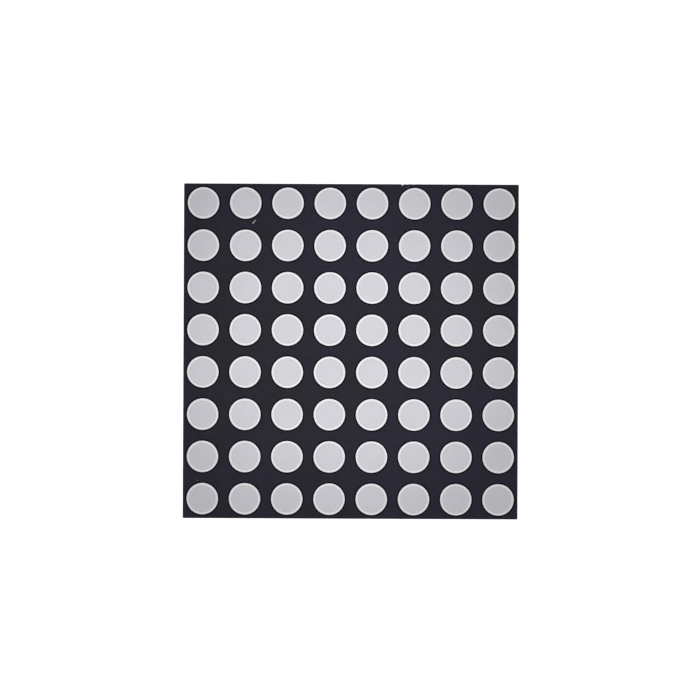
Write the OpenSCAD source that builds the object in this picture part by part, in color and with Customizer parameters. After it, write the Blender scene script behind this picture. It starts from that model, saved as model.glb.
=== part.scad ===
// LED dot matrix module: a moulded reflector with a cup for each dot, a black printed face, a two-layer
// board with one chip and one bond wire under each dot, a cast resin back and two rows of round pins.
// +Z points out of the face. The origin is the centre of the plane that the four feet stand on.

/* [Display] */
// Dots along each side
dots = 8; // [4:2:8]
// Distance between the centres of neighbouring dots
dot_pitch = 4; // [3.8:0.1:4.4]
// Diameter of the window that the black print leaves round each dot
window_d = 3; // [2.7:0.05:3.1]
// Width of the bare white rim inside each window
rim_w = 0.15; // [0.1:0.01:0.25]
// Depth to which the resin sinks in the middle of each dot
dish_depth = 0.04; // [0.02:0.01:0.08]
// Width of the flat edge of resin round that dish
dish_edge = 0.15; // [0.1:0.01:0.25]
// Thickness of the black print
print_t = 0.05; // [0.03:0.01:0.1]

/* [Body] */
// Height from the feet to the face
body_h = 6.4; // [6.2:0.1:8]
// Gap between two modules whose dots keep the same pitch
tile_gap = 0.3; // [0.1:0.05:0.6]
// Radius of the body's upright edges
corner_r = 0.2; // [0.1:0.05:0.5]
// Thickness of the side walls
wall_t = 0.7; // [0.55:0.05:0.75]
// Thickness of the plate that holds the cups
plate_t = 3.4; // [3:0.1:3.8]
// Diameter of a cup where it meets the board
cup_floor_d = 1.8; // [1.7:0.05:1.9]
// Least thickness of plastic between a cup and the hollows that lighten the plate
web_t = 0.4; // [0.3:0.05:0.6]
// Thickness left between those hollows and the face
skin_t = 1; // [0.8:0.1:1.6]
// Diameter of the corner posts that end in the feet
foot_d = 1.3; // [1:0.05:1.3]
// Height of the feet under the rim of the walls
foot_h = 0.3; // [0.2:0.05:0.6]
// Distance from the outside of the body to a foot
foot_inset = 0.05; // [0.05:0.01:0.1]

/* [Board] */
// Thickness of the board
board_t = 1; // [0.8:0.1:1.2]
// Play between the board and the walls and posts round it
board_play = 0.05; // [0.03:0.01:0.1]
// Thickness of the glue line between the front copper and the plate
glue_t = 0.025; // [0.02:0.005:0.05]
// Thickness of the copper
copper_t = 0.035; // [0.018:0.001:0.07]
// Width of the tracks
track_w = 0.3; // [0.2:0.05:0.35]
// Diameter of the pad under each chip
chip_pad_d = 0.5; // [0.45:0.05:0.55]
// Diameter of the pad at the far end of each bond wire
bond_pad_d = 0.45; // [0.4:0.05:0.5]
// Diameter of the copper plugs that join the two layers
via_d = 0.3; // [0.2:0.05:0.35]
// Diameter of the pads round the pins
pin_pad_d = 1.1; // [1:0.05:1.2]
// Thickness of the copper that lines the pin holes
plating_t = 0.04; // [0.02:0.01:0.06]
// Least distance along the row between a pin's own track and the column strip beside it
strip_room = 0.7; // [0.6:0.05:0.8]

/* [Chips] */
// Side of a chip
chip_w = 0.3; // [0.25:0.01:0.34]
// Height of a chip
chip_h = 0.2; // [0.15:0.01:0.25]
// Width of the ledge round the raised top of a chip
chip_ledge = 0.03; // [0.02:0.005:0.05]
// Diameter of a bond wire
wire_d = 0.04; // [0.03:0.005:0.05]
// Distance from a chip to its wire's far end
wire_span = 0.6; // [0.56:0.01:0.64]
// Diameter of the ball that joins a wire to its chip
ball_d = 0.1; // [0.08:0.01:0.14]
// Height of that ball
ball_h = 0.03; // [0.02:0.005:0.05]
// Room between a wire and the resin above it
wire_room = 0.1; // [0.05:0.01:0.14]

/* [Pins] */
// Distance between neighbouring pins in a row
pin_pitch = 2.54; // [2.5:0.01:2.6]
// Diameter of the free part of a pin
pin_d = 0.5; // [0.4:0.05:0.55]
// Length of a pin below the feet
pin_len = 4; // [3:0.1:6]
// Length of the tapered end of a pin
tip_len = 0.2; // [0.1:0.05:0.4]
// Diameter of that end
tip_d = 0.3; // [0.2:0.05:0.35]
// Diameter, over its corners, of the thicker part of a pin, inside the board and the resin
shank_d = 0.6; // [0.58:0.01:0.64]
// Play between that part and its hole in the board
shank_play = 0.07; // [0.04:0.01:0.09]
// Diameter of a pin's head
head_d = 0.9; // [0.85:0.05:1]
// Thickness of a pin's head
head_t = 0.25; // [0.2:0.05:0.4]
// Room round the heads in the plate's grooves
head_room = 0.2; // [0.1:0.05:0.3]
// Height of the solder round a pin behind the board
solder_h = 0.4; // [0.3:0.05:0.45]
// Width of the solder on the pad
solder_w = 0.22; // [0.15:0.01:0.24]
// Width of the solder where it ends on the pin
solder_end_w = 0.04; // [0.02:0.01:0.08]

/* [Resin] */
// Distance from the rim of the walls to the resin behind the board
resin_recess = 0.4; // [0.2:0.05:0.5]
// Gap left round cast resin
cast_play = 0.01; // [0.005:0.005:0.02]

/* [Hidden] */
$fn = 64;

// Sides of the very large circles that dish the dots
dish_fn = 720;

// Flats pressed round a pin's shank, and sides of a bond wire
shank_fn = 8;
wire_fn = 8;

// How far a cutting shape runs past the part that it cuts
over = 0.1;

white_plastic = [0.93, 0.93, 0.9];
black_print = [0.15, 0.15, 0.18];
milky_resin = [0.8, 0.8, 0.83];
board_green = [0.36, 0.5, 0.3];
copper = [0.82, 0.52, 0.32];
chip_red = [0.55, 0.16, 0.13];
gold = [0.9, 0.72, 0.3];
solder_grey = [0.66, 0.67, 0.7];
back_cream = [0.86, 0.85, 0.78];
tinned = [0.78, 0.78, 0.8];

// Sizes across the face
body_side = dots * dot_pitch - tile_gap;
recess_side = body_side - 2 * wall_t;
board_side = recess_side - 2 * board_play;
mouth_r = window_d / 2 - rim_w;
cup_floor_r = cup_floor_d / 2;
core_r = dot_pitch / sqrt(2) - mouth_r - web_t;
foot_at = body_side / 2 - foot_inset - foot_d / 2;
pin_row_y = (dots / 2 - 1) * dot_pitch;
pin_hole_d = shank_d + 2 * shank_play;
run_step = strip_room + track_w / 2;
turn_step = dot_pitch / 3;

// Levels, from the face down
print_z = body_h - print_t;
plate_z = print_z - plate_t;
front_copper_z = plate_z - glue_t;
board_front_z = front_copper_z - copper_t;
board_back_z = board_front_z - board_t;
back_copper_z = board_back_z - copper_t;
resin_top_z = back_copper_z - cast_play;
resin_face_z = foot_h + resin_recess;
loop_z = front_copper_z + chip_h + ball_h;

// The hollow under each dot is round and just clears the wire's loop
loop_reach = norm([wire_span / 2, loop_z - plate_z]) + (wire_span + wire_d) / 2;
chip_hollow_r = loop_reach + wire_room;

index = [0 : dots - 1];
numbers = [1 : dots];
pin_numbers = [1 : 2 * dots];

function numbered(stem, list) = [for (n = list) str(stem, n)];
function across(i, step) = (i - (dots - 1) / 2) * step;
function dot_at(i) = across(i, dot_pitch);
function pin_at(i) = across(i, pin_pitch);

// The pins count along the lower row and back along the upper one
function pin_place(n) = n <= dots ? [pin_at(n - 1), -pin_row_y] : [pin_at(2 * dots - n), pin_row_y];

// The top row's track runs down the middle of the board, and the others keep to their pins
function row_pin(r) = r == dots - 1 ? dots / 2 : r < dots / 2 ? r : r + 1;

// A pin's track that would run beside a column strip steps away from it
function nearest_strip(x) = dot_at(min(dots - 1, max(0, round(x / dot_pitch + (dots - 1) / 2))));
function clear_of_strip(x, strip) =
    abs(x - strip) >= strip_room ? x : x < strip ? strip - run_step : strip + run_step;
function run_x(r) =
    r == dots - 1 ? 0 : clear_of_strip(pin_at(row_pin(r)), nearest_strip(pin_at(row_pin(r))));

// A column strip passes the lower pins midway between two of them, or beside them all
outer_pin_room = pin_at(dots - 1) + pin_pad_d / 2 + track_w;
function strip_cross_x(c) =
    abs(dot_at(c)) > outer_pin_room ? dot_at(c) : round(dot_at(c) / pin_pitch) * pin_pitch;

// Square with rounded corners
module rounded_square(side, r) {
    square([side, side - 2 * r], center = true);
    square([side - 2 * r, side], center = true);
    at_corners(side / 2 - r) circle(r);
}

module at_corners(reach) {
    for (x = [-reach, reach], y = [-reach, reach])
        translate([x, y]) children();
}

module at_dots() {
    for (c = index, r = index)
        translate([dot_at(c), dot_at(r)]) children();
}

module at_pins() {
    for (n = pin_numbers)
        translate(pin_place(n)) children();
}

// Straight track with round ends
module track(from, to) {
    step = to - from;
    translate(from)
        rotate(atan2(step.y, step.x))
            translate([0, -track_w / 2])
                square([norm(step), track_w]);
    translate(from) circle(d = track_w);
    translate(to) circle(d = track_w);
}

module track_through(points) {
    for (i = [1 : len(points) - 1])
        track(points[i - 1], points[i]);
}

// Straight shank with flats, grown by some play
module shank(from_z, to_z, play) {
    translate([0, 0, from_z])
        cylinder(d = shank_d + 2 * play, h = to_z - from_z, $fn = shank_fn);
}

// Solder and shank as one shape, grown by some play
module soldered_pin_space(play) {
    shank(resin_face_z - over, resin_top_z + over, play);
    translate([0, 0, back_copper_z - solder_h - play])
        cylinder(
            r1 = shank_d / 2 + solder_end_w + play,
            r2 = shank_d / 2 + solder_w + play,
            h = solder_h + play
        );
}

// White moulding: walls, corner posts and a plate with one tapered cup for each dot
module reflector_housing() {
    color(white_plastic) {
        difference() {
            translate([0, 0, foot_h])
                linear_extrude(print_z - foot_h) rounded_square(body_side, corner_r);
            translate([0, 0, foot_h - over])
                linear_extrude(plate_z - foot_h + over) square(recess_side, center = true);
            at_dots() cup_space();
            plate_hollows();
            head_grooves();
        }
        at_corners(foot_at) cylinder(d = foot_d, h = plate_z);
    }
}

// A cup's cone, run on past both sides of the plate
module cup_space() {
    past = over * (mouth_r - cup_floor_r) / plate_t;
    translate([0, 0, plate_z - over])
        cylinder(r1 = cup_floor_r - past, r2 = mouth_r + past, h = plate_t + 2 * over);
}

// Round hollows from behind, one between each four cups
module plate_hollows() {
    for (c = [1 : dots - 1], r = [1 : dots - 1])
        translate([dot_at(c) - dot_pitch / 2, dot_at(r) - dot_pitch / 2, plate_z - over])
            cylinder(r = core_r, h = plate_t - skin_t + over);
}

// Grooves behind the plate that take the pins' heads
module head_grooves() {
    length = 2 * pin_at(dots - 1) + head_d + 2 * head_room;
    width = head_d + 2 * head_room;
    depth = head_t + head_room;
    for (side = [-1, 1])
        translate([-length / 2, side * pin_row_y - width / 2, plate_z - over])
            cube([length, width, depth + over]);
}

// Black print on the face, open round each dot
module face_print() {
    color(black_print)
        translate([0, 0, print_z])
            linear_extrude(print_t)
                difference() {
                    rounded_square(body_side, corner_r);
                    at_dots() circle(d = window_d);
                }
}

// Milky resin of one row of cups
module dot_row(r) {
    color(milky_resin)
        for (c = index)
            translate([dot_at(c), dot_at(r)]) resin_dot();
}

// One cup full of resin: sunk a little on top, hollow over its chip
module resin_dot() {
    dish_r = mouth_r - dish_edge;
    dish_curve_r = (dish_r * dish_r + dish_depth * dish_depth) / (2 * dish_depth);
    rotate_extrude()
        difference() {
            polygon([
                [0, plate_z],
                [cup_floor_r - cast_play, plate_z],
                [mouth_r - cast_play, print_z],
                [0, print_z]
            ]);
            translate([0, print_z + dish_curve_r - dish_depth]) circle(dish_curve_r, $fn = dish_fn);
            translate([0, plate_z]) circle(chip_hollow_r);
        }
}

// Board with notches round the posts and holes for the plugs and the pins
module circuit_board() {
    color(board_green)
        translate([0, 0, board_back_z])
            linear_extrude(board_t)
                difference() {
                    square(board_side, center = true);
                    at_corners(foot_at) circle(d = foot_d + 2 * board_play);
                    at_dots() translate([0, wire_span]) circle(d = via_d);
                    for (r = index)
                        translate([run_x(r), dot_at(r)]) circle(d = via_d);
                    at_pins() circle(d = pin_hole_d + 2 * plating_t);
                }
}

// Copper of one row: front bus under the chips, and a track behind the board to its lower pin
module row_track(r) {
    pin = [pin_at(row_pin(r)), -pin_row_y];
    toward = dot_at(r) < -pin_row_y ? -1 : 1;
    turn = [run_x(r), -pin_row_y + toward * turn_step];
    via = [run_x(r), dot_at(r)];
    color(copper)
        difference() {
            union() {
                front_layer() {
                    track([dot_at(0), dot_at(r)], [dot_at(dots - 1), dot_at(r)]);
                    for (c = index)
                        translate([dot_at(c), dot_at(r)]) circle(d = chip_pad_d);
                    translate(via) circle(d = bond_pad_d);
                    translate(pin) circle(d = pin_pad_d);
                }
                back_layer() {
                    track_through([pin, turn, via]);
                    translate(via) circle(d = bond_pad_d);
                    translate(pin) pin_pad(row_pin(r) == 0);
                }
                translate(via) copper_plug(via_d);
                translate(pin) copper_plug(pin_hole_d + 2 * plating_t);
            }
            translate(pin) pin_hole();
        }
}

// Copper of one column: strip behind the board, a plug to each bond pad, and its upper pin
module column_track(c) {
    x = dot_at(c);
    pin = [pin_at(c), pin_row_y];
    first = dot_at(0) + wire_span;
    second = dot_at(1) + wire_span;
    last_below = dot_at(dots - 2) + wire_span;
    last = dot_at(dots - 1) + wire_span;
    color(copper)
        difference() {
            union() {
                front_layer() {
                    for (r = index)
                        translate([x, dot_at(r) + wire_span]) circle(d = bond_pad_d);
                    translate(pin) circle(d = pin_pad_d);
                }
                back_layer() {
                    track_through([
                        [x, first],
                        [strip_cross_x(c), -pin_row_y],
                        [x, second],
                        [x, last_below],
                        pin,
                        [x, last]
                    ]);
                    for (r = index)
                        translate([x, dot_at(r) + wire_span]) circle(d = bond_pad_d);
                    translate(pin) circle(d = pin_pad_d);
                }
                for (r = index)
                    translate([x, dot_at(r) + wire_span]) copper_plug(via_d);
                translate(pin) copper_plug(pin_hole_d + 2 * plating_t);
            }
            translate(pin) pin_hole();
        }
}

module front_layer() {
    translate([0, 0, board_front_z]) linear_extrude(copper_t) children();
}

module back_layer() {
    translate([0, 0, back_copper_z]) linear_extrude(copper_t) children();
}

module copper_plug(d) {
    translate([0, 0, back_copper_z]) cylinder(d = d, h = front_copper_z - back_copper_z);
}

module pin_hole() {
    translate([0, 0, back_copper_z - over])
        cylinder(d = pin_hole_d, h = front_copper_z - back_copper_z + 2 * over);
}

// The first pin has a square pad
module pin_pad(is_first) {
    if (is_first) square(pin_pad_d, center = true);
    else circle(d = pin_pad_d);
}

// Chips of one row, each with a raised top
module chip_row(r) {
    color(chip_red)
        for (c = index)
            translate([dot_at(c), dot_at(r), front_copper_z]) {
                translate([-chip_w / 2, -chip_w / 2]) cube([chip_w, chip_w, chip_h - chip_ledge]);
                translate([-chip_w / 2 + chip_ledge, -chip_w / 2 + chip_ledge])
                    cube([chip_w - 2 * chip_ledge, chip_w - 2 * chip_ledge, chip_h]);
            }
}

// One wire from each chip, over in a half circle and down to its bond pad
module bond_wires() {
    color(gold)
        at_dots() {
            down_from(loop_z) cylinder(d = ball_d, h = ball_h);
            translate([0, wire_span / 2, loop_z])
                rotate([90, 0, 90])
                    rotate_extrude(angle = 180)
                        translate([wire_span / 2, 0]) circle(d = wire_d, $fn = wire_fn);
            translate([0, wire_span])
                down_from(loop_z) cylinder(d = wire_d, h = loop_z - front_copper_z, $fn = wire_fn);
        }
}

module down_from(z) {
    translate([0, 0, z]) mirror([0, 0, 1]) children();
}

// Solder round the pins behind the board
module solder_joints() {
    color(solder_grey)
        at_pins()
            difference() {
                translate([0, 0, back_copper_z - solder_h])
                    cylinder(
                        r1 = shank_d / 2 + solder_end_w,
                        r2 = shank_d / 2 + solder_w,
                        h = solder_h
                    );
                shank(back_copper_z - solder_h - over, back_copper_z + over, 0);
            }
}

// Resin cast behind the board, round the pins, the solder and the posts
module back_resin() {
    side = recess_side - 2 * cast_play;
    color(back_cream)
        difference() {
            translate([-side / 2, -side / 2, resin_face_z])
                cube([side, side, resin_top_z - resin_face_z]);
            at_corners(foot_at) cylinder(d = foot_d + 2 * cast_play, h = plate_z);
            at_pins() soldered_pin_space(cast_play);
        }
}

// Round pin: head on the board, shank through it and the resin, free end with a taper
module pin(n) {
    color(tinned)
        translate(pin_place(n)) {
            translate([0, 0, front_copper_z]) cylinder(d = head_d, h = head_t);
            shank(resin_face_z, front_copper_z, 0);
            rotate_extrude()
                polygon([
                    [0, -pin_len],
                    [tip_d / 2, -pin_len],
                    [pin_d / 2, tip_len - pin_len],
                    [pin_d / 2, front_copper_z + head_t],
                    [0, front_copper_z + head_t]
                ]);
        }
}

reflector_housing();
face_print();
for (n = numbers)
    dot_row(n - 1);
circuit_board();
for (n = numbers)
    row_track(n - 1);
for (n = numbers)
    column_track(n - 1);
for (n = numbers)
    chip_row(n - 1);
bond_wires();
solder_joints();
back_resin();
for (n = pin_numbers)
    pin(n);
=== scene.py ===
import math
import random

import bmesh
import bpy
from mathutils import Matrix, Vector, noise
from mathutils.geometry import delaunay_2d_cdt


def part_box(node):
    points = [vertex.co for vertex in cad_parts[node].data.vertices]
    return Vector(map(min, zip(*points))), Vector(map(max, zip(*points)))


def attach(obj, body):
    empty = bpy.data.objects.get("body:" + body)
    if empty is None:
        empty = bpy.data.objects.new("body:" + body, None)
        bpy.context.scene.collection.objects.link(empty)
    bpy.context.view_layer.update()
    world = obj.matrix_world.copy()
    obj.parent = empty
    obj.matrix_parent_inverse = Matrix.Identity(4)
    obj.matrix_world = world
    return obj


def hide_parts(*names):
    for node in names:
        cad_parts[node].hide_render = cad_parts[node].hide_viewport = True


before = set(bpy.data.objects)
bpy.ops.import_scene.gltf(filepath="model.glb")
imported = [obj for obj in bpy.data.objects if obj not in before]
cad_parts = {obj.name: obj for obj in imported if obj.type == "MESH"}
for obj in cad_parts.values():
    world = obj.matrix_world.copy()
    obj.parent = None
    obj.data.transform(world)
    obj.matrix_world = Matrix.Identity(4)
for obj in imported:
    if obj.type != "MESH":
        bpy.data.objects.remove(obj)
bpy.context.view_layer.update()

mm = 0.001  # shapes are worked out in millimetres and scaled once, in addPiece
print("frame loaded:", len(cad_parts), "nodes")


def boxOf(node):
    low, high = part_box(node)
    return low / mm, high / mm


# sizes that the frame gives
bodyLow = boxOf("reflector_housing")[0]
printLow, printHigh = boxOf("face_print")
rowLow, rowHigh = boxOf("dot_row_1")
secondRowLow = boxOf("dot_row_2")[0]
resinLow, resinHigh = boxOf("back_resin")
solderLow = boxOf("solder_joints")[0]
pinLow, pinHigh = boxOf("pin_1")

dotsPerSide = sum(name.startswith("dot_row_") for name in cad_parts)
pinCount = sum(name.startswith("pin_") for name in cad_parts)
pitch = secondRowLow.y - rowLow.y
bodyHalf = printHigh.x
faceZ = printLow.z
plateZ = rowLow.z
floorZ = pinLow.z
dotRadius = (rowHigh.y - rowLow.y) / 2
dotCentres = [(i - (dotsPerSide - 1) / 2) * pitch for i in range(dotsPerSide)]
pinCentres = []
for n in range(1, pinCount + 1):
    low, high = boxOf(f"pin_{n}")
    pinCentres.append(((low.x + high.x) / 2, (low.y + high.y) / 2))

# values that several shapes share
quarterTurn = math.pi / 2
roundSteps = (0, 0.3, 1)  # where a rounded edge gets its corners
roundShare = 0.3  # of a rounding, that its middle corner is cut back by
past = 0.5  # how far a cutting shape runs on past what it cuts


view = {
    "distance": 600,  # from the face, so nearly no perspective
    "frameWidth": 66.26,  # what the view spans at the face
    "aside": (-0.074, 0.131),  # where the camera stands, next to the middle
    "turn": 0.253,  # degrees
    "sensor": 36,
}


def addCamera():
    camera = bpy.data.cameras.new("camera")
    camera.sensor_width = view["sensor"]
    camera.lens = view["sensor"] * view["distance"] / view["frameWidth"]
    camera.clip_start = 0.01
    camera.clip_end = 10
    holder = bpy.data.objects.new("camera", camera)
    x, y = view["aside"]
    holder.location = Vector((x, y, printHigh.z + view["distance"])) * mm
    holder.rotation_euler = (0, 0, math.radians(view["turn"]))
    bpy.context.scene.collection.objects.link(holder)
    bpy.context.scene.camera = holder


addCamera()
print("camera placed")


def circlePoints(centre, radius, z, segments, wave=None):
    points = []
    for i in range(segments):
        angle = 2 * math.pi * i / segments
        r = radius + (wave(angle) if wave else 0)
        points.append(Vector((centre[0] + r * math.cos(angle), centre[1] + r * math.sin(angle), z)))
    return points


def squarePoints(half, cornerRadius, z, edgeParts=1, cornerParts=6):
    points = []
    inner = half - cornerRadius
    for turn in range(4):
        spin = Matrix.Rotation(turn * quarterTurn, 3, "Z")
        for i in range(edgeParts):
            y = -inner + 2 * inner * i / edgeParts
            points.append(spin @ Vector((half, y, z)))
        for i in range(cornerParts):
            angle = quarterTurn * i / cornerParts
            x = inner + cornerRadius * math.cos(angle)
            y = inner + cornerRadius * math.sin(angle)
            points.append(spin @ Vector((x, y, z)))
    return points


def addLoop(bm, points):
    return [bm.verts.new(p) for p in points]


def joinLoops(bm, first, second):
    count = len(first)
    for i in range(count):
        j = (i + 1) % count
        bm.faces.new((first[i], first[j], second[j], second[i]))


def loft(bm, pointLoops):
    loops = [addLoop(bm, points) for points in pointLoops]
    for first, second in zip(loops, loops[1:]):
        joinLoops(bm, first, second)
    return loops


def closeLoop(bm, loop, z):
    # a fan to the middle keeps a round end round
    middle = sum((v.co for v in loop), Vector()) / len(loop)
    tip = bm.verts.new((middle.x, middle.y, z))
    for i in range(len(loop)):
        bm.faces.new((loop[i], loop[(i + 1) % len(loop)], tip))


def lathe(bm, centre, profile, segments, closed=True):
    # profile runs as (radius, z), and a closed one starts and ends on the axis
    rings = [circlePoints(centre, r, z, segments) for r, z in profile if r > 0]
    loops = loft(bm, rings)
    if closed:
        closeLoop(bm, loops[0], profile[0][1])
        closeLoop(bm, loops[-1], profile[-1][1])
    return loops


def fillFlat(bm, outer, holes):
    loops = [outer] + holes
    corners = [v for loop in loops for v in loop]
    faces = []
    for loop in loops:
        start = sum(len(face) for face in faces)
        faces.append(list(range(start, start + len(loop))))
    flat = [Vector((v.co.x, v.co.y)) for v in corners]
    fillInside = 1
    made = delaunay_2d_cdt(flat, [], faces, fillInside, 1e-6)
    triangles, cornerSources, faceSources = made[2], made[3], made[5]
    # a triangle that comes from the first loop alone lies in no hole
    for triangle, sources in zip(triangles, faceSources):
        if list(sources) == [0]:
            bm.faces.new([corners[cornerSources[i][0]] for i in triangle])


def toMesh(bm, name):
    bmesh.ops.recalc_face_normals(bm, faces=bm.faces)
    mesh = bpy.data.meshes.new(name)
    bm.to_mesh(mesh)
    bm.free()
    return mesh


def addPiece(mesh, name, material, nodes, sharpAngle=32):
    mesh.transform(Matrix.Scale(mm, 4))
    mesh.materials.clear()
    mesh.materials.append(material)
    for polygon in mesh.polygons:
        polygon.use_smooth = True
    mesh.set_sharp_from_angle(angle=math.radians(sharpAngle))
    piece = bpy.data.objects.new(name, mesh)
    bpy.context.scene.collection.objects.link(piece)
    shading = piece.modifiers.new("even shading", "WEIGHTED_NORMAL")
    shading.keep_sharp = True
    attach(piece, "root")
    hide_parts(*nodes)
    return piece


def weld(mesh):
    # corners that a Boolean leaves closer together than this, in millimetres, are one
    closeness = 0.0001
    bm = bmesh.new()
    bm.from_mesh(mesh)
    bmesh.ops.remove_doubles(bm, verts=bm.verts, dist=closeness)
    bmesh.ops.dissolve_degenerate(bm, edges=bm.edges, dist=closeness)
    bm.to_mesh(mesh)
    bm.free()


def combine(base, tool, operation):
    # one Boolean, applied at once
    holders = []
    for mesh in (base, tool):
        holder = bpy.data.objects.new("shaping", mesh)
        bpy.context.scene.collection.objects.link(holder)
        holders.append(holder)
    change = holders[0].modifiers.new("shaping", "BOOLEAN")
    change.object = holders[1]
    change.operation = operation
    change.solver = "EXACT"
    solid = holders[0].evaluated_get(bpy.context.evaluated_depsgraph_get())
    result = bpy.data.meshes.new_from_object(solid)
    for holder in holders:
        bpy.data.objects.remove(holder)
    weld(result)
    return result


def newMaterial(name):
    material = bpy.data.materials.new(name)
    material.use_nodes = True
    tree = material.node_tree
    return material, tree, tree.nodes["Principled BSDF"]


def addNode(tree, kind, settings=None, inputs=None):
    node = tree.nodes.new("ShaderNode" + kind)
    for name, value in (settings or {}).items():
        setattr(node, name, value)
    for name, value in (inputs or {}).items():
        node.inputs[name].default_value = value
    return node


def addNoise(tree, perMm, detail=3, stretch=(1, 1, 1)):
    # perMm is how many grains of noise go on a millimetre
    place = addNode(tree, "TexCoord")
    scale = addNode(tree, "Mapping", inputs={"Scale": Vector(stretch) * perMm / mm})
    grain = addNode(tree, "TexNoise", inputs={"Scale": 1, "Detail": detail, "Roughness": 0.55})
    tree.links.new(place.outputs["Object"], scale.inputs["Vector"])
    tree.links.new(scale.outputs["Vector"], grain.inputs["Vector"])
    return grain.outputs["Fac"]


def addRamp(tree, source, stops):
    ramp = addNode(tree, "ValToRGB")
    elements = ramp.color_ramp.elements
    while len(elements) < len(stops):
        elements.new(0.5)
    for element, (position, colour) in zip(elements, stops):
        element.position = position
        element.color = (*colour, 1)
    tree.links.new(source, ramp.inputs["Fac"])
    return ramp.outputs["Color"]


def addRange(tree, source, fromLow, fromHigh, toLow, toHigh):
    change = addNode(tree, "MapRange", inputs={
        "From Min": fromLow,
        "From Max": fromHigh,
        "To Min": toLow,
        "To Max": toHigh,
    })
    tree.links.new(source, change.inputs["Value"])
    return change.outputs["Result"]


def addBump(tree, shader, height, depth):
    # depth is in millimetres
    bump = addNode(tree, "Bump", inputs={"Strength": 1, "Distance": depth * mm})
    tree.links.new(height, bump.inputs["Height"])
    tree.links.new(bump.outputs["Normal"], shader.inputs["Normal"])


def multiply(tree, first, second):
    mix = addNode(tree, "Mix", {"data_type": "RGBA", "blend_type": "MULTIPLY"}, {"Factor": 1})
    tree.links.new(first, mix.inputs["A"])
    tree.links.new(second, mix.inputs["B"])
    return mix.outputs["Result"]


def distanceToDot(tree):
    # how far a point is from the nearest dot's centre, in millimetres
    place = addNode(tree, "TexCoord")
    cells = addNode(tree, "VectorMath", {"operation": "MULTIPLY"})
    cells.inputs[1].default_value = (1 / (pitch * mm), 1 / (pitch * mm), 0)
    cell = addNode(tree, "VectorMath", {"operation": "FRACTION"})
    fromMiddle = addNode(tree, "VectorMath", {"operation": "SUBTRACT"})
    fromMiddle.inputs[1].default_value = (0.5, 0.5, 0)
    length = addNode(tree, "VectorMath", {"operation": "LENGTH"})
    inMm = addNode(tree, "Math", {"operation": "MULTIPLY"})
    inMm.inputs[1].default_value = pitch
    tree.links.new(place.outputs["Object"], cells.inputs[0])
    tree.links.new(cells.outputs["Vector"], cell.inputs[0])
    tree.links.new(cell.outputs["Vector"], fromMiddle.inputs[0])
    tree.links.new(fromMiddle.outputs["Vector"], length.inputs[0])
    tree.links.new(length.outputs["Value"], inMm.inputs[0])
    return inMm.outputs["Value"]


whiteLook = {
    "dull": (0.91, 0.904, 0.936),
    "bright": (0.93, 0.924, 0.956),
    "roughness": (0.4, 0.52),
    "cloud": 0.25,  # patches on a millimetre
    "grain": 7,
    "grainDepth": 0.003,
}


def whitePlastic():
    material, tree, shader = newMaterial("whitePlastic")
    cloud = addNoise(tree, whiteLook["cloud"], 4)
    tone = addRamp(tree, cloud, [(0.35, whiteLook["dull"]), (0.65, whiteLook["bright"])])
    tree.links.new(tone, shader.inputs["Base Color"])
    grain = addNoise(tree, whiteLook["grain"], 2)
    tree.links.new(addRange(tree, grain, 0.3, 0.7, *whiteLook["roughness"]), shader.inputs["Roughness"])
    addBump(tree, shader, grain, whiteLook["grainDepth"])
    return material


housing = {
    "cornerRadius": 0.1,
    "edgeRound": 0.02,
    "rimRound": 0.05,
    "footHeight": 0.3,  # how far the feet stand below the rim
    "footRadius": 0.65,
    "footRound": 0.06,
    "footInset": 0.05,
    "footSegments": 48,
    "castGap": 0.01,  # between the moulding and what is cast in it
    "recessCorner": 0.05,
    "recessOpening": 0.15,  # how much wider the recess gets below the rim
    "openingBelow": 0.1,
    "openingAbove": 0.05,
    "lipRound": 0.012,
    "cupFloorRadius": 0.9,
    "cupSegments": 64,
    "hollowRadius": 1.078,
    "hollowDepth": 2.4,
    "hollowRound": 0.15,
    "hollowSegments": 40,
    "headRoom": 0.2,
    "glueLine": 0.025,
}


def roundedLevels(z, radius, upwards):
    # height and inset of each corner of an edge's rounding, from the end of the block inwards
    levels = []
    for step in roundSteps:
        angle = quarterTurn * step
        height = radius * (1 - math.cos(angle))
        levels.append((z + (height if upwards else -height), radius * (1 - math.sin(angle))))
    return levels


def housingBlock():
    # outside of the moulding, with rounded edges at the rim and at the face
    rim = bodyLow.z + housing["footHeight"]
    levels = roundedLevels(rim, housing["rimRound"], True)
    levels += roundedLevels(faceZ, housing["edgeRound"], False)[::-1]
    bm = bmesh.new()
    loops = loft(bm, [squarePoints(bodyHalf - inset, housing["cornerRadius"], z) for z, inset in levels])
    bm.faces.new(loops[0])
    bm.faces.new(loops[-1])
    return toMesh(bm, "block")


def recessCutter():
    # the room behind the plate, opened a little at the rim
    half = resinHigh.x + housing["castGap"]
    corner = housing["recessCorner"]
    rim = bodyLow.z + housing["footHeight"]
    bm = bmesh.new()
    loops = loft(bm, [
        squarePoints(half + housing["recessOpening"], corner, rim - housing["openingBelow"]),
        squarePoints(half, corner, rim + housing["openingAbove"]),
        squarePoints(half, corner, plateZ),
    ])
    bm.faces.new(loops[0])
    bm.faces.new(loops[-1])
    return toMesh(bm, "recess")


def cornerPosts():
    at = bodyHalf - housing["footInset"] - housing["footRadius"]
    rounding = housing["footRound"]
    radius = housing["footRadius"]
    bm = bmesh.new()
    for x in (-at, at):
        for y in (-at, at):
            lathe(bm, (x, y), [
                (0, bodyLow.z),
                (radius - rounding, bodyLow.z),
                (radius - roundShare * rounding, bodyLow.z + roundShare * rounding),
                (radius, bodyLow.z + rounding),
                (radius, plateZ + past),
                (0, plateZ + past),
            ], housing["footSegments"])
    return toMesh(bm, "posts")


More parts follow.
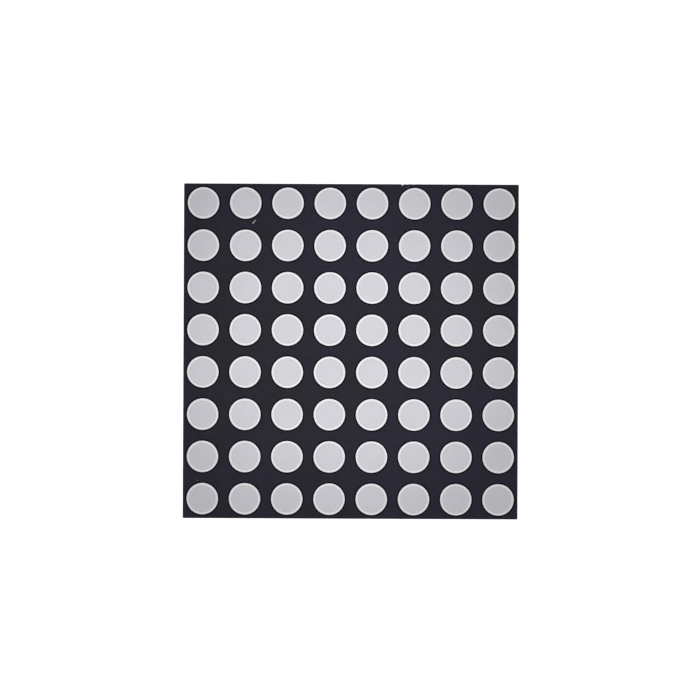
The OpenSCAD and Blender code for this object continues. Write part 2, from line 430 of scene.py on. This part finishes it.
def cupCutters():
    mouth = dotRadius + housing["castGap"]
    lip = housing["lipRound"]
    slope = (mouth - housing["cupFloorRadius"]) / (faceZ - plateZ)
    bm = bmesh.new()
    for x in dotCentres:
        for y in dotCentres:
            lathe(bm, (x, y), [
                (0, plateZ - past),
                (housing["cupFloorRadius"] - past * slope, plateZ - past),
                (mouth - lip * slope, faceZ - lip),
                (mouth + roundShare * lip, faceZ - roundShare * lip),
                (mouth + lip, faceZ),
                (mouth + lip, faceZ + past),
                (0, faceZ + past),
            ], housing["cupSegments"])
    return toMesh(bm, "cups")


def hollowCutters():
    # round hollows behind the plate, one between each four cups
    top = plateZ + housing["hollowDepth"]
    radius = housing["hollowRadius"]
    rounding = housing["hollowRound"]
    bm = bmesh.new()
    between = [(a + b) / 2 for a, b in zip(dotCentres, dotCentres[1:])]
    for x in between:
        for y in between:
            lathe(bm, (x, y), [
                (0, plateZ - past),
                (radius, plateZ - past),
                (radius, top - rounding),
                (radius - roundShare * rounding, top - roundShare * rounding),
                (radius - rounding, top),
                (0, top),
            ], housing["hollowSegments"])
    return toMesh(bm, "hollows")


def grooveCutters():
    # two grooves that take the heads of the pins
    headRadius = (pinHigh.x - pinLow.x) / 2
    reach = max(x for x, y in pinCentres) + headRadius + housing["headRoom"]
    side = headRadius + housing["headRoom"]
    top = pinHigh.z + housing["headRoom"] + housing["glueLine"]
    bm = bmesh.new()
    for row in sorted({round(y, 3) for x, y in pinCentres}):
        corners = [(-reach, row - side), (reach, row - side), (reach, row + side), (-reach, row + side)]
        loops = loft(bm, [[Vector((x, y, z)) for x, y in corners] for z in (plateZ - past, top)])
        bm.faces.new(loops[0])
        bm.faces.new(loops[-1])
    return toMesh(bm, "grooves")


def makeHousing(material):
    shape = housingBlock()
    shape = combine(shape, recessCutter(), "DIFFERENCE")
    shape = combine(shape, cornerPosts(), "UNION")
    shape = combine(shape, cupCutters(), "DIFFERENCE")
    shape = combine(shape, hollowCutters(), "DIFFERENCE")
    shape = combine(shape, grooveCutters(), "DIFFERENCE")
    return addPiece(shape, "reflectorShell", material, ["reflector_housing"])


makeHousing(whitePlastic())
print("white moulding made")


inkLook = {
    "cool": (0.029, 0.0262, 0.0425),
    "neutral": (0.0262, 0.0252, 0.0335),
    "cloud": 0.09,  # patches on a millimetre
    "paintedShadeLevel": 0.12,  # how dark the painted shade in a ring round a window's edge is
    "paintedShadeWidth": 0.1,
    "paintedShadeFade": 0.07,
    "mottle": 1.6,
    "mottleShade": 0.86,
    "roughness": (0.52, 0.64),
    "gloss": 0.03,
    "grain": 9,
    "grainDepth": 0.002,
}


def grey(value):
    return (value, value, value)


def blackInk(windowRadius):
    material, tree, shader = newMaterial("blackInk")
    cloud = addNoise(tree, inkLook["cloud"], 3)
    tone = addRamp(tree, cloud, [(0.4, inkLook["neutral"]), (0.6, inkLook["cool"])])
    reach = pitch / 2
    ring = addRange(tree, distanceToDot(tree), 0, reach, 0, 1)
    paintedShadeTo = windowRadius + inkLook["paintedShadeWidth"]
    # painted shade: the ink is darkened to near black in a ring round each window's edge, where the
    # print steps down into the cup
    shade = addRamp(tree, ring, [
        (paintedShadeTo / reach, grey(inkLook["paintedShadeLevel"])),
        ((paintedShadeTo + inkLook["paintedShadeFade"]) / reach, grey(1)),
    ])
    spots = addNoise(tree, inkLook["mottle"], 4)
    mottle = addRamp(tree, spots, [(0.3, grey(inkLook["mottleShade"])), (0.7, grey(1))])
    colour = multiply(tree, multiply(tree, tone, shade), mottle)
    tree.links.new(colour, shader.inputs["Base Color"])
    grain = addNoise(tree, inkLook["grain"], 2)
    tree.links.new(addRange(tree, grain, 0.3, 0.7, *inkLook["roughness"]), shader.inputs["Roughness"])
    shader.inputs["Specular IOR Level"].default_value = inkLook["gloss"]
    addBump(tree, shader, grain, inkLook["grainDepth"])
    return material


facePrint = {
    "windowRadius": 1.486,
    "windowWave": 0.008,  # how uneven a window's edge is
    "windowSegments": 96,
    "edgeWave": 0.012,
    "edgeBand": 0.3,  # how near the edge a point is that follows its waves
    "edgeSlope": 0.06,  # how far the ink thins out towards its edge
    "cornerRadius": 0.1,
    "edgeParts": 400,
    "scratchSegments": 20,
    "nicks": [  # chips out of the upper edge: place along it, width and depth
        (4.83, 0.07, 0.18),
        (5.24, 0.12, 0.03),
        (5.9, 0.07, 0.04),
    ],
    "scratches": [  # middle, length, width and turn
        ((-9.17, 12.27), 0.6, 0.052, 50),
        ((5.18, 15.5), 0.62, 0.011, 207),
        ((-14.44, -12.28), 0.34, 0.012, -8),
    ],
}


def nickDepthAt(x):
    return sum(depth * math.exp(-((x - at) / width) ** 2) for at, width, depth in facePrint["nicks"])


def inkEdgePoints(z, inset):
    # outline of the ink, a little uneven and always inside the moulding's edge
    points = squarePoints(bodyHalf - inset, facePrint["cornerRadius"], z, facePrint["edgeParts"])
    band = bodyHalf - facePrint["edgeBand"]
    for p in points:
        wave = noise.noise(Vector((p.x * 0.9, p.y * 0.9, 7.3)))
        wave += 0.4 * noise.noise(Vector((p.x * 3.1, p.y * 3.1, 2.1)))
        pull = facePrint["edgeWave"] * min(max(0.5 + 0.7 * wave, 0), 1)
        if p.y > band:
            pull += nickDepthAt(p.x)
        if abs(p.x) > band:
            p.x -= math.copysign(pull, p.x)
        if abs(p.y) > band:
            p.y -= math.copysign(pull, p.y)
    return points


def windowPoints(centre, z, grow):
    def wave(angle):
        around = Vector((math.cos(angle) * 1.5 + centre[0], math.sin(angle) * 1.5 + centre[1], 3.7))
        return facePrint["windowWave"] * noise.noise(around)
    return circlePoints(centre, facePrint["windowRadius"] + grow, z, facePrint["windowSegments"], wave)


def scratchPoints(scratch, z, grow):
    # slim opening with uneven ends, one of them blunter
    middle, length, width, turn = scratch
    spin = Matrix.Rotation(math.radians(turn), 3, "Z")
    points = []
    for i in range(facePrint["scratchSegments"]):
        angle = 2 * math.pi * i / facePrint["scratchSegments"]
        wobble = 1 + 0.25 * noise.noise(Vector((math.cos(angle) * 2, math.sin(angle) * 2, 5)))
        taper = 1 - 0.45 * math.cos(angle)
        x = (length / 2 * wobble + grow) * math.cos(angle)
        y = (width / 2 * wobble + grow) * math.sin(angle) * taper
        points.append(spin @ Vector((x, y, 0)) + Vector((*middle, z)))
    return points


def makeFacePrint(material):
    thick = printHigh.z - printLow.z
    # the ink thins out in a slope towards each of its edges
    levels = [(printLow.z + thick * rise, facePrint["edgeSlope"] * run) for rise, run in
              ((0, 0), (0.2, 0.05), (0.65, 0.35), (0.9, 0.7), (1, 1))]
    bm = bmesh.new()
    outer = loft(bm, [inkEdgePoints(z, grow) for z, grow in levels])
    holes = []
    for x in dotCentres:
        for y in dotCentres:
            holes.append(loft(bm, [windowPoints((x, y), z, grow) for z, grow in levels]))
    for scratch in facePrint["scratches"]:
        holes.append(loft(bm, [scratchPoints(scratch, z, grow) for z, grow in levels]))
    fillFlat(bm, outer[0], [loops[0] for loops in holes])
    fillFlat(bm, outer[-1], [loops[-1] for loops in holes])
    return addPiece(toMesh(bm, "facePrint"), "facePrint", material, ["face_print"])


makeFacePrint(blackInk(facePrint["windowRadius"]))
print("black print made")


resinLook = {
    "across": [  # share of the dot's radius, and the tone there
        (0.76, (0.634, 0.626, 0.677)),
        # painted highlight ring, then a painted shade band from 0.89 to 0.94 of the radius
        (0.83, (0.66, 0.652, 0.703)),
        (0.89, (0.622, 0.614, 0.664)),
        (0.94, (0.622, 0.614, 0.664)),
        (0.972, (0.93, 0.922, 0.965)),
    ],
    "mottle": 0.7,
    "mottleShade": 0.97,
    "roughness": (0.36, 0.46),
    "gloss": 0.4,
    "glow": 0.15,
    "glowDepth": 0.3,
    "glowReach": (1, 0.95, 0.9),
    "grain": 5,
    "grainDepth": 0.0015,
}


def milkyResin():
    material, tree, shader = newMaterial("milkyResin")
    # paler at the dot's edge, where the resin gets thin over the sloping wall of its cup; inside that, a
    # painted highlight ring at 0.83 of the radius and a slightly darker painted shade band from 0.89 to
    # 0.94
    across = addRange(tree, distanceToDot(tree), 0, dotRadius, 0, 1)
    tone = addRamp(tree, across, resinLook["across"])
    spots = addNoise(tree, resinLook["mottle"], 4)
    mottle = addRamp(tree, spots, [(0.3, grey(resinLook["mottleShade"])), (0.7, grey(1))])
    tree.links.new(multiply(tree, tone, mottle), shader.inputs["Base Color"])
    fine = addNoise(tree, resinLook["grain"], 3)
    tree.links.new(addRange(tree, fine, 0.3, 0.7, *resinLook["roughness"]), shader.inputs["Roughness"])
    shader.inputs["Specular IOR Level"].default_value = resinLook["gloss"]
    shader.inputs["Subsurface Weight"].default_value = resinLook["glow"]
    shader.inputs["Subsurface Radius"].default_value = resinLook["glowReach"]
    shader.inputs["Subsurface Scale"].default_value = resinLook["glowDepth"] * mm
    addBump(tree, shader, fine, resinLook["grainDepth"])
    return material


dots = {
    "sink": 0.04,  # how far the middle sinks below the face
    "sinkSpread": 0.2,
    "meniscus": 0.55,  # share of the sink that is taken up close to the wall
    "steps": (0.15, 0.35, 0.55, 0.7, 0.8, 0.87, 0.92, 0.96, 0.985, 1),
    "hollowRadius": 0.783,  # of the round room for the chip and its wire
    "hollowSteps": 6,
    "segments": 64,
}


def dotProfile(sink):
    profile = [(0, faceZ - sink)]
    creep = dots["meniscus"]
    for step in dots["steps"]:
        rise = (1 - creep) * step ** 2 + creep * step ** 12
        profile.append((dotRadius * step, faceZ - sink * (1 - rise)))
    profile.append((housing["cupFloorRadius"] - housing["castGap"], plateZ))
    radius = dots["hollowRadius"]
    for step in range(dots["hollowSteps"]):
        angle = quarterTurn * step / dots["hollowSteps"]
        profile.append((radius * math.cos(angle), plateZ + radius * math.sin(angle)))
    profile.append((0, plateZ + radius))
    return profile


def makeDotRow(number, material, draw):
    bm = bmesh.new()
    for x in dotCentres:
        sink = dots["sink"] * (1 - dots["sinkSpread"] * draw.random())
        lathe(bm, (x, dotCentres[number - 1]), dotProfile(sink), dots["segments"])
    name = f"dotRow{number}"
    return addPiece(toMesh(bm, name), name, material, [f"dot_row_{number}"])


resin = milkyResin()
draw = random.Random(11)
for n in range(1, dotsPerSide + 1):
    makeDotRow(n, resin, draw)
print("dots made")


backLook = {
    "thin": (0.71, 0.70, 0.645),
    "thick": (0.75, 0.745, 0.70),
    "cloud": 0.2,
    "roughness": (0.22, 0.32),
    "glow": 0.2,
    "glowDepth": 0.4,
    "glowReach": (1, 0.9, 0.7),
    "wave": 0.5,
    "waveDepth": 0.02,
}


def castResin():
    material, tree, shader = newMaterial("castResin")
    cloud = addNoise(tree, backLook["cloud"], 4)
    tone = addRamp(tree, cloud, [(0.35, backLook["thin"]), (0.65, backLook["thick"])])
    tree.links.new(tone, shader.inputs["Base Color"])
    wave = addNoise(tree, backLook["wave"], 3)
    tree.links.new(addRange(tree, wave, 0.3, 0.7, *backLook["roughness"]), shader.inputs["Roughness"])
    shader.inputs["Subsurface Weight"].default_value = backLook["glow"]
    shader.inputs["Subsurface Radius"].default_value = backLook["glowReach"]
    shader.inputs["Subsurface Scale"].default_value = backLook["glowDepth"] * mm
    addBump(tree, shader, wave, backLook["waveDepth"])
    return material


backResin = {
    "creep": 0.09,  # how far the resin creeps along what it meets
    "creepWidth": 0.35,
    "bayParts": 24,
    "pinRadius": 0.25,
    "pinGap": 0.005,
    "shankRadius": 0.31,
    "shankStart": 0.02,
    "solderTop": 0.53,
    "solderFoot": 0.35,
    "creepSteps": (0, 0.1, 0.25, 0.5, 1),
    "pinSegments": 32,
}


def creepLevels(first, last):
    # how far from the wall, and how high, the resin is as it creeps along it
    levels = []
    for step in backResin["creepSteps"]:
        levels.append((first + (last - first) * step, resinLow.z - backResin["creep"] * (1 - step) ** 3))
    return levels


def resinOutline(inset, z):
    # square with a round bay at each corner post
    half = resinHigh.x - inset
    postAt = bodyHalf - housing["footInset"] - housing["footRadius"]
    bay = housing["footRadius"] + housing["castGap"] + inset
    side = math.acos((half - postAt) / bay)
    first = 4 * quarterTurn - side
    sweep = 3 * quarterTurn - 2 * side
    points = []
    for turn in range(4):
        spin = Matrix.Rotation(turn * quarterTurn, 3, "Z")
        for i in range(backResin["bayParts"] + 1):
            # clockwise round the post, from the right-hand side to the upper one
            angle = first - sweep * i / backResin["bayParts"]
            x = postAt + bay * math.cos(angle)
            y = postAt + bay * math.sin(angle)
            points.append(spin @ Vector((x, y, z)))
    return points


def resinPinLoops(bm, centre):
    # from the creep round the free pin, over its shank and its solder, to the board's side
    pinRadius = backResin["pinRadius"] + backResin["pinGap"]
    solderZ = solderLow.z - housing["castGap"]
    levels = creepLevels(pinRadius, pinRadius + backResin["creepWidth"])[::-1]
    levels += [
        (backResin["shankRadius"], resinLow.z + backResin["shankStart"]),
        (backResin["shankRadius"], solderZ),
        (backResin["solderFoot"], solderZ),
        (backResin["solderTop"], resinHigh.z),
    ]
    return lathe(bm, centre, levels, backResin["pinSegments"], closed=False)


def makeBackResin(material):
    bm = bmesh.new()
    sides = [resinOutline(inset, z) for inset, z in creepLevels(0, backResin["creepWidth"])[::-1]]
    sides.append(resinOutline(0, resinHigh.z))
    outer = loft(bm, sides)
    holes = [resinPinLoops(bm, centre) for centre in pinCentres]
    fillFlat(bm, outer[0], [loops[0] for loops in holes])
    fillFlat(bm, outer[-1], [loops[-1] for loops in holes])
    return addPiece(toMesh(bm, "backResin"), "backResin", material, ["back_resin"])


makeBackResin(castResin())
print("resin behind the board made")


tinLook = {
    "dull": (0.62, 0.62, 0.63),
    "bright": (0.74, 0.74, 0.74),
    "patch": 2.5,
    "patchStretch": (1, 1, 0.25),
    "roughness": (0.2, 0.32),
    "streak": 12,
    "streakStretch": (1, 1, 0.06),
    "streakDepth": 0.002,
}


def tinnedMetal():
    material, tree, shader = newMaterial("tinnedMetal")
    patch = addNoise(tree, tinLook["patch"], 3, tinLook["patchStretch"])
    tone = addRamp(tree, patch, [(0.3, tinLook["dull"]), (0.7, tinLook["bright"])])
    tree.links.new(tone, shader.inputs["Base Color"])
    shader.inputs["Metallic"].default_value = 1
    streaks = addNoise(tree, tinLook["streak"], 3, tinLook["streakStretch"])
    tree.links.new(addRange(tree, streaks, 0.3, 0.7, *tinLook["roughness"]), shader.inputs["Roughness"])
    addBump(tree, shader, streaks, tinLook["streakDepth"])
    return material


pins = {
    "tipRadius": 0.15,
    "tipLength": 0.2,
    "tipRound": 0.04,
    "shoulder": [  # rounding from tip to pin: height past the tip, and how far inside the pin's side
        (-0.05, 0.02),
        (0, 0.006),
        (0.06, 0),
    ],
    "shankStart": 0.03,
    "shankRadius": 0.3,
    "headZ": 2.925,
    "headRound": 0.05,
    "segments": 32,
}


def pinProfile():
    radius = backResin["pinRadius"]
    tip = pins["tipRadius"]
    tipRound = pins["tipRound"]
    head = (pinHigh.x - pinLow.x) / 2
    headRound = pins["headRound"]
    tipEnd = pinLow.z + pins["tipLength"]
    profile = [
        (0, pinLow.z),
        (tip - tipRound, pinLow.z),
        (tip - roundShare * tipRound, pinLow.z + roundShare * tipRound),
        (tip, pinLow.z + tipRound),
    ]
    profile += [(radius - inside, tipEnd + height) for height, inside in pins["shoulder"]]
    profile += [
        (radius, resinLow.z),
        (pins["shankRadius"], resinLow.z + pins["shankStart"]),
        (pins["shankRadius"], pins["headZ"]),
        (head, pins["headZ"]),
        (head, pinHigh.z - headRound),
        (head - roundShare * headRound, pinHigh.z - roundShare * headRound),
        (head - headRound, pinHigh.z),
        (0, pinHigh.z),
    ]
    return profile


def makePin(number, material):
    bm = bmesh.new()
    lathe(bm, pinCentres[number - 1], pinProfile(), pins["segments"])
    name = f"pin{number}"
    return addPiece(toMesh(bm, name), name, material, [f"pin_{number}"])


tin = tinnedMetal()
for n in range(1, pinCount + 1):
    makePin(n, tin)
print("pins made")


boardLook = {
    "dark": (0.075, 0.16, 0.06),
    "light": (0.11, 0.22, 0.085),
    "weave": 1.4,
    "weaveStretch": (1, 0.15, 1),
    "weaveDepth": 0.004,
    "roughness": (0.35, 0.5),
}


def boardLaminate():
    material, tree, shader = newMaterial("boardLaminate")
    weave = addNoise(tree, boardLook["weave"], 2, boardLook["weaveStretch"])
    tone = addRamp(tree, weave, [(0.35, boardLook["dark"]), (0.65, boardLook["light"])])
    tree.links.new(tone, shader.inputs["Base Color"])
    tree.links.new(addRange(tree, weave, 0.3, 0.7, *boardLook["roughness"]), shader.inputs["Roughness"])
    addBump(tree, shader, weave, boardLook["weaveDepth"])
    return material


metalLooks = {
    "copperFoil": {
        "dull": (0.62, 0.30, 0.17),
        "bright": (0.80, 0.45, 0.27),
        "roughness": (0.4, 0.3),
        "patch": 1.5,
    },
    "goldWire": {
        "dull": (0.82, 0.60, 0.22),
        "bright": (0.92, 0.73, 0.33),
        "roughness": (0.28, 0.18),
        "patch": 6,
    },
    "solderAlloy": {
        "dull": (0.52, 0.52, 0.53),
        "bright": (0.68, 0.68, 0.69),
        "roughness": (0.38, 0.28),
        "patch": 3,
    },
}


def bareMetal(name):
    look = metalLooks[name]
    material, tree, shader = newMaterial(name)
    patch = addNoise(tree, look["patch"], 4)
    tone = addRamp(tree, patch, [(0.35, look["dull"]), (0.65, look["bright"])])
    tree.links.new(tone, shader.inputs["Base Color"])
    shader.inputs["Metallic"].default_value = 1
    tree.links.new(addRange(tree, patch, 0.3, 0.7, *look["roughness"]), shader.inputs["Roughness"])
    addBump(tree, shader, patch, 0.002)
    return material


chipLook = {
    "dark": (0.22, 0.02, 0.016),
    "light": (0.34, 0.04, 0.03),
    "facets": 14,
    "roughness": (0.12, 0.25),
}


def chipCrystal():
    material, tree, shader = newMaterial("chipCrystal")
    facets = addNoise(tree, chipLook["facets"], 2)
    tone = addRamp(tree, facets, [(0.4, chipLook["dark"]), (0.6, chipLook["light"])])
    tree.links.new(tone, shader.inputs["Base Color"])
    tree.links.new(addRange(tree, facets, 0.3, 0.7, *chipLook["roughness"]), shader.inputs["Roughness"])
    return material


def dressNodes(prefix, material):
    for name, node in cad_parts.items():
        if name.startswith(prefix):
            node.data.materials.clear()
            node.data.materials.append(material)


copper = bareMetal("copperFoil")
dressNodes("circuit_board", boardLaminate())
dressNodes("row_track", copper)
dressNodes("column_track", copper)
dressNodes("chip_row", chipCrystal())
dressNodes("bond_wires", bareMetal("goldWire"))
dressNodes("solder_joints", bareMetal("solderAlloy"))
print("inner pieces dressed")


light = {
    "around": 0.45,  # from all sides
    "key": 4.2,
    "keyHeight": 600,
    "keyAside": (-0.7, 0.9),
    "keyReach": 21.6,  # radius of its pool on the face
    "keySize": 6,
    "side": 0.5,
    "sideSize": 300,
    "sideDistance": 500,
    "sideHeight": 20,  # degrees above the floor
    "sideTurns": (35, 145, 215, 325),
    "floorGrey": 0.8,
    "floorBright": 0.65,
    "floorHalf": 2000,
}


def seenByCamera(tree):
    return addNode(tree, "LightPath").outputs["Is Camera Ray"]


def addWorld():
    world = bpy.data.worlds.new("studio")
    bpy.context.scene.world = world
    world.use_nodes = True
    tree = world.node_tree
    soft = tree.nodes["Background"]
    soft.inputs["Color"].default_value = (1, 1, 1, 1)
    soft.inputs["Strength"].default_value = light["around"]
    white = addNode(tree, "Background", inputs={"Color": (1, 1, 1, 1), "Strength": 1})
    mix = addNode(tree, "MixShader")
    tree.links.new(seenByCamera(tree), mix.inputs["Fac"])
    tree.links.new(soft.outputs["Background"], mix.inputs[1])
    tree.links.new(white.outputs["Background"], mix.inputs[2])
    tree.links.new(mix.outputs["Shader"], tree.nodes["World Output"].inputs["Surface"])


def addFloor():
    material, tree, shader = newMaterial("floorPaper")
    tree.nodes.remove(shader)
    paper = addNode(tree, "BsdfDiffuse", inputs={"Color": (*grey(light["floorGrey"]), 1)})
    bright = addNode(tree, "Emission", inputs={"Color": (1, 1, 1, 1), "Strength": light["floorBright"]})
    both = addNode(tree, "AddShader")
    mix = addNode(tree, "MixShader")
    tree.links.new(paper.outputs["BSDF"], both.inputs[0])
    tree.links.new(bright.outputs["Emission"], both.inputs[1])
    tree.links.new(seenByCamera(tree), mix.inputs["Fac"])
    tree.links.new(paper.outputs["BSDF"], mix.inputs[1])
    tree.links.new(both.outputs["Shader"], mix.inputs[2])
    tree.links.new(mix.outputs["Shader"], tree.nodes["Material Output"].inputs["Surface"])
    mesh = bpy.data.meshes.new("floor")
    half = light["floorHalf"] * mm
    z = floorZ * mm
    corners = [(-half, -half, z), (half, -half, z), (half, half, z), (-half, half, z)]
    mesh.from_pydata(corners, [], [(0, 1, 2, 3)])
    mesh.materials.append(material)
    floor = bpy.data.objects.new("floor", mesh)
    bpy.context.scene.collection.objects.link(floor)


def addKey():
    key = bpy.data.lights.new("key", "SPOT")
    key.energy = light["key"]
    key.spot_size = 2 * math.atan(light["keyReach"] / light["keyHeight"])
    key.spot_blend = 1
    key.shadow_soft_size = light["keySize"] * mm
    holder = bpy.data.objects.new("key", key)
    holder.location = Vector((*light["keyAside"], printHigh.z + light["keyHeight"])) * mm
    bpy.context.scene.collection.objects.link(holder)


def addSide(number, turn):
    side = bpy.data.lights.new(f"side{number}", "AREA")
    side.energy = light["side"]
    side.size = light["sideSize"] * mm
    holder = bpy.data.objects.new(side.name, side)
    around = math.radians(turn)
    rise = math.radians(light["sideHeight"])
    flat = math.cos(rise)
    towards = Vector((math.cos(around) * flat, math.sin(around) * flat, math.sin(rise)))
    holder.location = towards * light["sideDistance"] * mm
    holder.rotation_euler = towards.to_track_quat("Z", "Y").to_euler()
    bpy.context.scene.collection.objects.link(holder)


addWorld()
addFloor()
addKey()
for n, turn in enumerate(light["sideTurns"]):
    addSide(n + 1, turn)
bpy.context.scene.view_settings.view_transform = "Standard"
print("light and floor placed")
